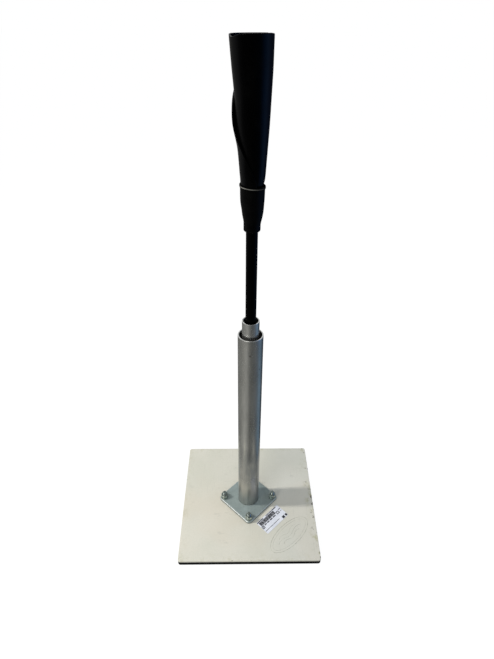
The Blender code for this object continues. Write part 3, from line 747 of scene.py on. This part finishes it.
# The label's plain pattern in millimetres: bars, then blocks of (along, across, long, wide)
BAR_WIDTHS = (1.3, 0.8, 1.9, 0.9, 1.2, 2.3, 0.8, 1.5, 1.0, 2.0)
BAR_COUNT = 32
LABEL_BLOCKS = (
    (-36.0, 16.0, 10.0, 2.4), (-25.2, 16.0, 9.5, 2.4), (-6.0, 16.2, 11.0, 2.2),
    (6.0, 16.2, 10.0, 2.2), (17.0, 16.2, 13.0, 2.4),
    (-26.0, 0.4, 7.0, 2.8), (-16.5, 0.4, 7.5, 2.8), (-6.5, 0.2, 8.0, 3.0), (4.0, 0.4, 9.5, 2.8),
    (-36.0, -4.4, 7.0, 2.0), (-36.0, -1.6, 3.4, 2.6), (-31.2, -1.4, 2.6, 3.8), (-35.6, 1.9, 7.0, 1.9),
    (18.4, 4.8, 8.0, 2.1), (18.4, -1.0, 2.2, 4.8), (21.6, -1.0, 5.4, 1.9), (25.2, 1.0, 2.2, 2.8),
    (29.2, 6.2, 6.6, 2.1), (30.4, 0.8, 4.4, 1.3),
    (-36.0, -12.4, 15.0, 1.3), (-20.0, -12.4, 10.0, 1.3), (-9.0, -12.4, 13.0, 1.3),
    (5.0, -12.4, 8.0, 1.3), (20.4, -18.8, 7.6, 6.8), (30.8, -18.4, 5.6, 6.2),
)


def build_label():
    """A pale film with plain bars, dashes and blocks printed on it."""
    low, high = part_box("label")
    centre = (low + high) / 2
    turn = Matrix.Rotation(math.radians(44), 4, "Z")
    frame_of_label = Matrix.Translation((centre.x, centre.y, 0)) @ turn
    long_side, short_side, thick = 74 * MM, 39 * MM, 0.3 * MM
    film = slab("label_film", (long_side, short_side, thick), 1.5 * MM, 0.08 * MM, low.z)
    film.data.transform(frame_of_label)
    place(film, "base", "label", ["label"])

    blocks = []
    bar = -33.5 * MM
    for i in range(BAR_COUNT):
        width = BAR_WIDTHS[i % len(BAR_WIDTHS)] * MM
        blocks.append((bar, 4.8 * MM, width, 10.2 * MM))
        bar += width + BAR_WIDTHS[(i * 3 + 1) % len(BAR_WIDTHS)] * 0.18 * MM
    blocks += [tuple(value * MM for value in block) for block in LABEL_BLOCKS]
    shape = bmesh.new()
    ink = 0.03 * MM
    for u, v, w, h in blocks:
        box = bmesh.ops.create_cube(shape, size=1)["verts"]
        bmesh.ops.scale(shape, vec=(w, h, ink), verts=box)
        bmesh.ops.translate(shape, vec=(u + w / 2, v + h / 2, high.z + ink / 2), verts=box)
    bmesh.ops.transform(shape, matrix=frame_of_label, verts=shape.verts)
    ink_piece = new_object("label_print", finish_mesh(shape, "label_print"))
    place(ink_piece, "base", "print")


def build_flange():
    """The zinc plate, turned 45 degrees, with its holes and rounded rim."""
    side, corner, edge = 108 * MM, 10 * MM, 2.3 * MM
    thick = FLANGE_HIGH.z - FLANGE_LOW.z
    flange = slab("flange", (side, side, thick), corner, edge, FLANGE_LOW.z,
                  turn=math.radians(45), under_edge=0.4 * MM)
    low, high = FLANGE_LOW.z - CUT_PAST, FLANGE_HIGH.z + CUT_PAST
    tools = [drill(BOLT_HOLE_RADIUS, spot, low, high) for spot in BOLT_PLACES]
    tools.append(drill(OUTER_RADIUS + GAP, (0, 0), low, high, TUBE_STEPS))
    cut_away(flange, tools)
    place(flange, "base", "plate", ["flange_plate"])


# ---------- fasteners
THREAD_PITCH = 1.5 * MM
THREAD_DEPTH = 0.7 * MM


def bolt_shape(number, spot, low, high):
    """Domed head, square neck and plain shank, with a cut thread at the nut end."""
    radius, head_radius, rim, neck = BOLT_RADIUS, 12 * MM, 0.9 * MM, 5.1 * MM
    head_height, neck_height, thread_length, nose_length = 5.7 * MM, 4 * MM, 19 * MM, 1.3 * MM
    head_top = MAT_LOW.z + head_height
    neck_top = head_top + neck_height
    thread_low, tip = high.z - thread_length, high.z
    steps, rows = SMALL_STEPS, 84
    sections = []
    for i in range(steps):
        angle = TURN * i / steps
        square = min(neck / math.cos(wrapped(angle, 4)), radius * 1.32)
        section = [(0, low.z)]
        for j in range(1, 9):
            a = TURN / 4 * j / 8
            dome = (head_top - rim - low.z) * math.cos(a)
            section.append((head_radius * math.sin(a), head_top - rim - dome))
        section += [(head_radius - 0.1 * MM, head_top - 0.2 * MM), (head_radius - 0.4 * MM, head_top)]
        section += [(square, head_top), (square, neck_top - 0.5 * MM), (radius, neck_top)]
        section.append((radius, thread_low))
        for j in range(rows + 1):
            z = thread_low + (tip - thread_low) * j / rows
            phase = (z / THREAD_PITCH - angle / TURN) % 1.0
            cut = smooth_step(z, thread_low, thread_low + MM) * (1 - smooth_step(z, tip - MM, tip))
            groove = THREAD_DEPTH * (1 - abs(2 * phase - 1)) * cut
            nose = 0.75 * max(0.0, z - (tip - nose_length))
            section.append((radius - groove - nose, z))
        section.append((0, tip))
        sections.append([around(angle, r, z, spot) for r, z in section])
    return skin(f"bolt_{number}", sections, True)


def nut_shape(number, spot, low, high):
    """A hexagon nut with both faces chamfered and a countersunk bore."""
    flat, corner, chamfer = 7.97 * MM, 9.15 * MM, 0.6 * MM
    bore = BOLT_RADIUS + GAP
    slope = math.tan(math.radians(28))
    face = flat * 0.96
    steps = 96
    start = math.radians(17 * number)
    sections = []
    for i in range(steps):
        angle = TURN * i / steps
        side = min(flat / math.cos(wrapped(angle, 6)), corner)
        drop = (side - face) * slope
        section = rounded([
            (face, high.z), (side, high.z - drop), (side, low.z + drop), (face, low.z),
            (bore + chamfer, low.z), (bore, low.z + chamfer), (bore, high.z - chamfer),
            (bore + chamfer, high.z)], 0.18 * MM, 2)
        sections.append([around(angle + start, r, z, spot) for r, z in section])
    return skin(f"nut_{number}", sections, True, math.radians(24))


def washer_shape(number, spot, low, high):
    """A split spring washer, its two ends a little apart."""
    inner, outer, thick = BOLT_RADIUS + GAP, 8.9 * MM, 1.9 * MM
    lift = (high.z - low.z) - thick
    steps = 72
    start = math.radians(100 + 75 * number)
    sections = []
    for i in range(steps + 1):
        t = i / steps
        angle = start + math.radians(5) + math.radians(350) * t
        base = low.z + lift * t
        outline = rounded([(outer, base + thick), (outer, base), (inner, base),
                           (inner, base + thick)], 0.35 * MM, 2)
        sections.append([around(angle, r, z, spot) for r, z in outline])
    return skin(f"washer_{number}", sections)


def build_fasteners():
    makers = {"carriage_bolt": bolt_shape, "lock_washer": washer_shape, "hex_nut": nut_shape}
    for number, spot in enumerate(BOLT_PLACES, 1):
        for kind, maker in makers.items():
            node = f"{kind}_{number}"
            piece = maker(number, spot, *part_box(node))
            place(piece, "base", "hardware", [node])


# ---------- stem
def dented(depth):
    """Very slight unevenness of a drawn and knocked-about tube."""
    def tweak(radius, angle, height):
        p = Vector((math.sin(angle) * 1.6, math.cos(angle) * 1.6, height * 14))
        return radius - depth * (0.5 + 0.5 * noise.noise(p))
    return tweak


def build_tubes():
    """Two slightly uneven tubes; the middle one has a hole for its collar's pins."""
    edge, hole_radius, through = 0.3 * MM, 2.3 * MM, 100 * MM
    inner = OUTER_RADIUS - OUTER_WALL
    outline = rounded(ring_outline(inner, OUTER_RADIUS, OUTER_LOW.z, OUTER_HIGH.z), edge)
    tube = lathe("stem_outer_tube", outline, tweak=dented(0.06 * MM))
    place(tube, "base", "outer_steel", ["outer_tube"])
    inner = MIDDLE_RADIUS - MIDDLE_WALL
    outline = rounded(ring_outline(inner, MIDDLE_RADIUS, MIDDLE_LOW.z, MIDDLE_HIGH.z), edge)
    tube = lathe("stem_middle_tube", outline, tweak=dented(0.04 * MM))
    level = Matrix.Translation((0, 0, middle_of("collar_pin_1").z))
    hole = cutter(
        bmesh.ops.create_cone, cap_ends=True, segments=24, radius1=hole_radius, radius2=hole_radius,
        depth=through, matrix=level @ Matrix.Rotation(TURN / 4, 4, "Y"))
    cut_away(tube, [hole])
    place(tube, "middle", "middle_steel", ["middle_tube"])


def build_bushes():
    """The dark guide bushes in the tubes' mouths, with a chamfered mouth of their own."""
    for name, node, body, inner, outer in (
        ("outer_bush", "outer_guide_bush", "base", MIDDLE_RADIUS + RUNNING_GAP,
         OUTER_RADIUS - OUTER_WALL - GAP),
        ("middle_bush", "middle_guide_bush", "middle", ROD_RADIUS + RUNNING_GAP,
         MIDDLE_RADIUS - MIDDLE_WALL - GAP),
    ):
        low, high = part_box(node)
        wide = (outer - inner) * 0.35
        outline = rounded([
            (outer, high.z), (outer, low.z), (inner, low.z), (inner, high.z - wide),
            (inner + wide * 0.6, high.z - 0.3 * MM), (inner + wide, high.z)], 0.4 * MM, 3)
        place(lathe(name, outline), body, "nylon", [node])


def build_rod():
    """The round rod, with a bore in its foot for the keeper's screw."""
    edge, bore, rows = 1.4 * MM, 2.5 * MM, 20
    low, high = ROD_LOW.z, ROD_HIGH.z
    bore_top = low + 20 * MM
    side = [(ROD_RADIUS, high - (high - low) * i / rows) for i in range(rows + 1)]
    outline = rounded([(0, high), *side, (bore, low), (bore, bore_top), (0, bore_top)], edge)
    rod = lathe("stem_rod", outline, 96, tweak=dented(0.03 * MM))
    place(rod, "rod_body", "rod", ["rod"])


def profile(foot, *points):
    """A row of (height, radius) from points in millimetres, their heights counted from a foot."""
    return [(foot + up * MM, radius * MM) for up, radius in points]


# The boot's outside, from its foot up to the lip
BOOT_PROFILE = profile(
    BOOT_LOW.z, (0, 14.35), (12, 14.35), (16, 14.8), (21, 15.9), (26, 16.9), (31, 17.7),
    (41, 18.8), (51, 19.8), (62, 20.1), (77, 20.3))


def along_profile(rows, height, soften=0.0):
    """The radius at a height, straight between a profile's rows, or softened round them."""
    if soften:
        return sum(along_profile(rows, height + soften * (i - 2) / 2) for i in range(5)) / 5
    for (low, low_radius), (high, high_radius) in zip(rows, rows[1:]):
        if height <= high:
            break
    return low_radius + (high_radius - low_radius) * (height - low) / (high - low)


def boot_outside(radius, angle, height):
    """Two raised mould lines, a bulge on the +X side of the flare, and a slight unevenness."""
    if radius < 13.5 * MM:
        return radius
    for seam in (math.radians(70), math.radians(250)):
        radius += 0.22 * MM * max(0.0, 1 - abs(wrapped(angle - seam)) / math.radians(2.2))
    up = height - BOOT_LOW.z
    flare = smooth_step(up, 10 * MM, 20 * MM) * smooth_step(up, 52 * MM, 34 * MM)
    radius += 0.6 * MM * math.sin(angle) * flare
    wobble = noise.noise(Vector((math.sin(angle) * 2, math.cos(angle) * 2, height * 60)))
    return radius + 0.10 * MM * wobble


def build_boot():
    """The rubber reducer between the rod and the roll."""
    lip_radius, lip_height, wall, edge = 21.4 * MM, 4.5 * MM, 2.4 * MM, 2 * MM
    seat_radius, seat_flare = 16.9 * MM, 3.5 * MM
    top, low, rows = BOOT_TOP, BOOT_LOW.z, 64
    lip_low = top - lip_height
    outline = [(lip_radius - 0.9 * MM, top), (lip_radius - 0.25 * MM, top - 0.3 * MM),
               (lip_radius, top - 1.1 * MM), (lip_radius, lip_low + 1.3 * MM),
               (lip_radius - 0.3 * MM, lip_low + 0.4 * MM), (lip_radius - 0.7 * MM, lip_low)]
    for i in range(rows + 1):
        height = lip_low - 0.4 * MM + (low + edge - lip_low + 0.4 * MM) * i / rows
        outline.append((along_profile(BOOT_PROFILE, height, 1.5 * MM), height))
    neck = outline[-1][0]
    for i in range(1, 6):
        a = math.pi / 2 * i / 5
        outline.append((neck - edge * (1 - math.cos(a)), low + edge * (1 - math.sin(a))))
    grip = ROD_RADIUS + GAP
    rod_top, seat = ROD_HIGH.z, SHEET_LOW.z - 3 * MM
    outline += [(grip, low), (grip, (low + rod_top) / 2), (grip, rod_top)]
    for i in range(1, 8):
        height = rod_top + (seat - rod_top) * i / 8
        outline.append((along_profile(BOOT_PROFILE, height) - wall, height))
    outline += [(seat_radius, seat), (seat_radius, SHEET_LOW.z)]
    for i in range(1, 11):
        t = i / 10
        outline.append((seat_radius + seat_flare * t, SHEET_LOW.z + (top - SHEET_LOW.z) * t))
    boot = lathe("boot", outline, 128, tweak=boot_outside)
    for v in boot.data.vertices:
        v.co.z -= BOOT_SLANT * v.co.x * smooth_step(v.co.z, top - 25 * MM, top)
    boot.data.materials.append(MATERIALS["boot"])
    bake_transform(boot)
    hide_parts("rubber_boot")


# ---------- rolled sheet
RIM_RISE = 2 * MM
RIM_TILT = 0.4 * MM
RIM_DIPS = (                  # the middle, depth and spread of each
    (math.radians(-62), 3.7 * MM, math.radians(26)),
    (math.radians(92), 1.7 * MM, math.radians(14)),
)
SHEET_TOP = SHEET_HIGH.z - RIM_RISE - RIM_TILT
SHEET_THICK = 2.5 * MM
SHEET_PITCH = 3.0 * MM
INNER_EDGE = math.radians(-594)
# The roll's outside: squeezed inside the boot, and nearly a straight cone above it
SHEET_PROFILE = [
    (SHEET_LOW.z, 16.6 * MM),
    *profile(BOOT_TOP, (0, 20.1), (6, 21.1), (17, 22.2), (44, 24.0), (80, 26.3), (130, 29.5),
             (160, 31.2)),
    (SHEET_TOP, 32.9 * MM)]


def free_edge_angle(height):
    """The sheet's outer edge: round the back at the rim, across the front at the boot."""
    middle, spread = BOOT_TOP + 36 * MM, 28.8 * MM
    sweep = 150 / (1 + math.exp((height - middle) / spread))
    back = 78 * smooth_step(height, SHEET_TOP - 93 * MM, SHEET_TOP - 18 * MM)
    ragged = 1.3 * noise.noise(Vector((0, 0, height * 90)))
    return math.radians(sweep - 96 - back + ragged)


def edge_lift(height, behind):
    """How far the loose edge stands off the layer below; behind is the angle back from it."""
    low, high = BOOT_TOP + 43 * MM, BOOT_TOP + 133 * MM
    most, under = 4.6 * MM, 1.4 * MM
    if not low < height < high:
        return 0.0
    along = math.sin(math.pi * (height - low) / (high - low)) ** 1.4
    loose = most * max(0.0, 1 - behind / math.radians(75)) ** 2
    below = max(0.0, 1 - abs(behind - TURN) / math.radians(60))
    return along * (loose + under * smooth_step(below, 0, 1))


def rim_wave(angle, behind):
    """The rim's rise round the cone, with dips at its front left, right and outer edge."""
    dips = 0.0
    for middle, depth, spread in RIM_DIPS:
        dips += depth * math.exp(-((wrapped(angle - middle) / spread) ** 2))
    drop = 1.1 * MM * max(0.0, 1 - behind / math.radians(85))
    return RIM_RISE - dips - drop + RIM_TILT * math.cos(angle - math.radians(60))


def sheet_lean(height):
    """How far the roll's middle is off the stem's axis: a little to +X, then to -X at the rim."""
    up = max(0.0, (height - BOOT_TOP) / (SHEET_TOP - BOOT_TOP))
    return 0.8 * MM * smooth_step(height, BOOT_TOP, BOOT_TOP + 10 * MM) - 5.3 * MM * up ** 1.6


def sheet_point(across, up):
    height = SHEET_LOW.z + (SHEET_TOP - SHEET_LOW.z) * up
    start = free_edge_angle(height)
    behind = (start - INNER_EDGE) * across
    angle = start - behind
    radius = along_profile(SHEET_PROFILE, height) - SHEET_THICK / 2 - SHEET_PITCH * behind / TURN
    radius += edge_lift(height, behind)
    ripple = noise.noise(Vector((math.sin(angle) * 1.5, math.cos(angle) * 1.5, height * 22)))
    radius -= 0.25 * MM * (1 + ripple) * smooth_step(up, 0.14, 0.3)
    lean = sheet_lean(height)
    height += rim_wave(angle, behind) * up ** 6
    return around(angle, radius, height, (lean, 0))


def build_roll():
    """The hand-rolled rubber sheet: one spiral, its outer edge lifting on the left."""
    columns, rows = 280, 84
    shape = bmesh.new()
    grid = [[shape.verts.new(sheet_point(c / columns, r / rows)) for c in range(columns + 1)]
            for r in range(rows + 1)]
    for low, high in zip(grid, grid[1:]):
        for c in range(columns):
            shape.faces.new((low[c], high[c], high[c + 1], low[c + 1]))
    roll = new_object("roll", finish_mesh(shape, "roll"))
    thicken = roll.modifiers.new("thickness", "SOLIDIFY")
    thicken.thickness = SHEET_THICK
    thicken.offset = 0
    edges = roll.modifiers.new("soft_edges", "BEVEL")
    edges.limit_method = "ANGLE"
    edges.angle_limit = math.radians(60)
    edges.width = 0.5 * MM
    edges.segments = 3
    bake_modifiers(roll)
    keep_flats_flat(roll)
    place(roll, "ball_rest", "roll", ["rolled_sheet"])


# ---------- pieces kept from the frame
def dress_hidden_nodes():
    """The pieces inside the stem keep their shape and get a detailed material."""
    looks = {
        "weld": ["tube_weld"],
        "seal": ["bump_stop", "o_ring_1", "o_ring_2"],
        "nylon": ["foot_glide", "stop_collar", "rod_glide", "core_plug"],
        "hardware": ["collar_pin_1", "collar_pin_2", "keeper_washer", "keeper_screw"],
    }
    for material, nodes in looks.items():
        for node in nodes:
            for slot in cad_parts[node].material_slots:
                slot.material = MATERIALS[material]


# ---------- studio
# What the metal and the rubber mirror, by the angle from the front towards +X: a window on the
# left, a dim room in front and a cool one on the right. Each row is the degrees and a colour.
# LOW is for the floor near by, FAR for the floor further off, and HIGH for the walls.
ROOM_LOW = (
    (-180, 0.14, 0.14, 0.14), (-130, 0.22, 0.22, 0.21), (-104, 0.26, 0.265, 0.25),
    (-77, 0.37, 0.37, 0.35), (-50, 0.52, 0.515, 0.49), (-32, 0.44, 0.44, 0.42),
    (-12, 0.24, 0.24, 0.23), (7, 0.14, 0.145, 0.14), (27, 0.14, 0.15, 0.15),
    (47, 0.17, 0.18, 0.19), (66, 0.13, 0.16, 0.19), (84, 0.17, 0.25, 0.33),
    (98, 0.21, 0.33, 0.45), (112, 0.10, 0.15, 0.21), (131, 0.03, 0.04, 0.055),
    (160, 0.04, 0.045, 0.05), (180, 0.14, 0.14, 0.14),
)
ROOM_HIGH = (
    (-180, 0.85, 0.85, 0.85), (-140, 0.95, 0.95, 0.94), (-115, 1.20, 1.20, 1.17),
    (-55, 1.20, 1.20, 1.17), (-35, 0.40, 0.40, 0.39), (0, 0.22, 0.22, 0.22),
    (60, 0.20, 0.21, 0.22), (90, 0.22, 0.32, 0.45), (125, 0.16, 0.19, 0.26),
    (160, 0.70, 0.72, 0.74), (180, 0.85, 0.85, 0.85),
)
ROOM_FAR = (
    (-180, 0.20, 0.20, 0.20), (-130, 0.32, 0.32, 0.31), (-116, 0.42, 0.42, 0.42),
    (-89, 0.56, 0.56, 0.58), (-67, 0.11, 0.11, 0.12), (-45, 0.02, 0.02, 0.02),
    (0, 0.01, 0.01, 0.01), (50, 0.01, 0.05, 0.13), (68, 0.10, 0.40, 1.10),
    (88, 0.34, 0.66, 1.45), (104, 0.16, 0.25, 0.55), (124, 0.03, 0.05, 0.11),
    (160, 0.05, 0.05, 0.06), (180, 0.20, 0.20, 0.20),
)
# Above the walls: the air overhead, a lamp, and the ceiling
OVERHEAD = (0.26, 0.28, 0.285)
LAMP_AIM = (-0.49, -0.41, 0.77)
LAMP = (3.0, 3.0, 2.9)
CEILING = (0.85, 0.85, 0.85)
FLOOR_GLOW = 0.96
FLOOR_SHADE = 0.10           # how much of the floor's brightness the shadows can take away
SOFT_LIGHT = (0.40, 0.415, 0.425)


def room_colour(nodes, table):
    turned = nodes.number("ARCTAN2", nodes.axis("X"), nodes.times(nodes.axis("Y"), -1.0))
    share = nodes.number("ADD", nodes.number("DIVIDE", turned, TURN), 0.5)
    return nodes.ramp(share, [((degrees + 180) / 360, colour) for degrees, *colour in table])


def build_floor():
    """A plain pale floor, which metal and rubber mirror as the room round them."""
    shape = bmesh.new()
    bmesh.ops.create_grid(shape, x_segments=1, y_segments=1, size=40)
    floor = new_object("floor", finish_mesh(shape, "floor"))
    look = Surface("pale_floor")
    glow = look.add("ShaderNodeEmission", {"Color": (1.0, 1.0, 1.0), "Strength": FLOOR_GLOW})
    matt = look.add("ShaderNodeBsdfDiffuse", {"Color": (FLOOR_SHADE,) * 3})
    pale = look.add("ShaderNodeAddShader", {0: glow.outputs[0], 1: matt.outputs[0]})
    bounce = look.add("ShaderNodeBsdfDiffuse", {"Color": (0.55, 0.55, 0.54)})
    away = look.add("ShaderNodeVectorMath", {0: look.place}, operation="LENGTH").outputs["Value"]
    near, far = room_colour(look, ROOM_LOW), room_colour(look, ROOM_FAR)
    colour = look.mix(look.band(away, 0.8, 1.9), near, far)
    room = look.add("ShaderNodeEmission", {"Color": colour, "Strength": 1.0})
    ray = look.add("ShaderNodeLightPath")
    seen = look.add("ShaderNodeMixShader", {
        0: ray.outputs["Is Glossy Ray"], 1: bounce.outputs[0], 2: room.outputs[0]})
    whole = look.add("ShaderNodeMixShader", {
        0: ray.outputs["Is Camera Ray"], 1: seen.outputs[0], 2: pale.outputs[0]})
    look.tree.links.new(whole.outputs[0], look.tree.nodes["Material Output"].inputs["Surface"])
    look.material.cycles.emission_sampling = "NONE"
    floor.data.materials.append(look.material)


def build_backdrop():
    """Pale to the camera, soft light to matt surfaces, and the room to shiny ones."""
    world = bpy.data.worlds.new("studio")
    world.use_nodes = True
    bpy.context.scene.world = world
    sky = Nodes(world.node_tree, "Generated")
    up = sky.axis("Z")
    aim = sky.add("ShaderNodeVectorMath", {0: sky.place, 1: LAMP_AIM}, operation="DOT_PRODUCT")
    room = sky.layered(
        room_colour(sky, ROOM_FAR),
        (sky.band(up, 0.10, 0.40), 1.0, room_colour(sky, ROOM_HIGH)),
        (sky.band(up, 0.56, 0.74), 1.0, OVERHEAD),
        (sky.band(up, 0.88, 0.98), 1.0, CEILING),
        (sky.band(aim.outputs["Value"], 0.93, 0.97), 1.0, LAMP))
    ray = sky.add("ShaderNodeLightPath")
    far_floor = tuple(FLOOR_GLOW + FLOOR_SHADE * light for light in SOFT_LIGHT)
    colour = sky.mix(ray.outputs["Is Glossy Ray"], SOFT_LIGHT, room)
    colour = sky.mix(ray.outputs["Is Camera Ray"], colour, far_floor)
    sky.feed(world.node_tree.nodes["Background"].inputs["Color"], colour)
    world.cycles.sampling_method = "NONE"


def area_light(name, place_at, target, size, power, colour):
    """A soft light that shiny surfaces don't mirror: they mirror the room's table instead."""
    light = bpy.data.lights.new(name, "AREA")
    light.shape = "RECTANGLE"
    light.size, light.size_y = size
    light.energy = power
    light.color = colour
    made = bpy.data.objects.new(name, light)
    made.location = place_at
    aim = Vector(target) - Vector(place_at)
    made.rotation_euler = aim.to_track_quat("-Z", "Y").to_euler()
    made.visible_glossy = False
    bpy.context.scene.collection.objects.link(made)


def build_lights():
    area_light("key", (-1.2, -0.03, 1.3), (0, 0, 0.02), (0.10, 0.35), 17, (1.0, 0.975, 0.92))
    area_light("front_soft", (-1.1, -1.4, 1.4), (0, 0, 0.3), (0.9, 0.9), 10, (1.0, 0.98, 0.94))
    area_light("front_low", (-0.2, -2.0, 0.25), (0, 0, 0.02), (1.2, 0.3), 5, (1.0, 1.0, 0.98))
    area_light("cool_side", (1.4, 0.2, 0.9), (0, 0, 0.1), (0.6, 0.9), 3, (0.55, 0.75, 1.0))


def build_camera():
    lens = bpy.data.cameras.new("camera")
    lens.lens = LENS_MM
    lens.sensor_width = SENSOR_MM
    lens.clip_start = 0.01
    made = bpy.data.objects.new("camera", lens)
    aim = Matrix.Rotation(-CAMERA_YAW, 4, "Z") @ Matrix.Rotation(TURN / 4 - CAMERA_DOWN, 4, "X")
    roll = Matrix.Rotation(CAMERA_ROLL, 4, "Z")
    made.matrix_world = Matrix.Translation(CAMERA_PLACE) @ aim @ roll
    bpy.context.scene.collection.objects.link(made)
    bpy.context.scene.camera = made


build_camera()
build_mat()
build_board()
build_oval_mark()
build_label()
build_flange()
build_fasteners()
build_tubes()
build_bushes()
build_rod()
build_boot()
build_roll()
dress_hidden_nodes()
build_floor()
build_backdrop()
build_lights()
bpy.context.scene.view_settings.view_transform = "Standard"
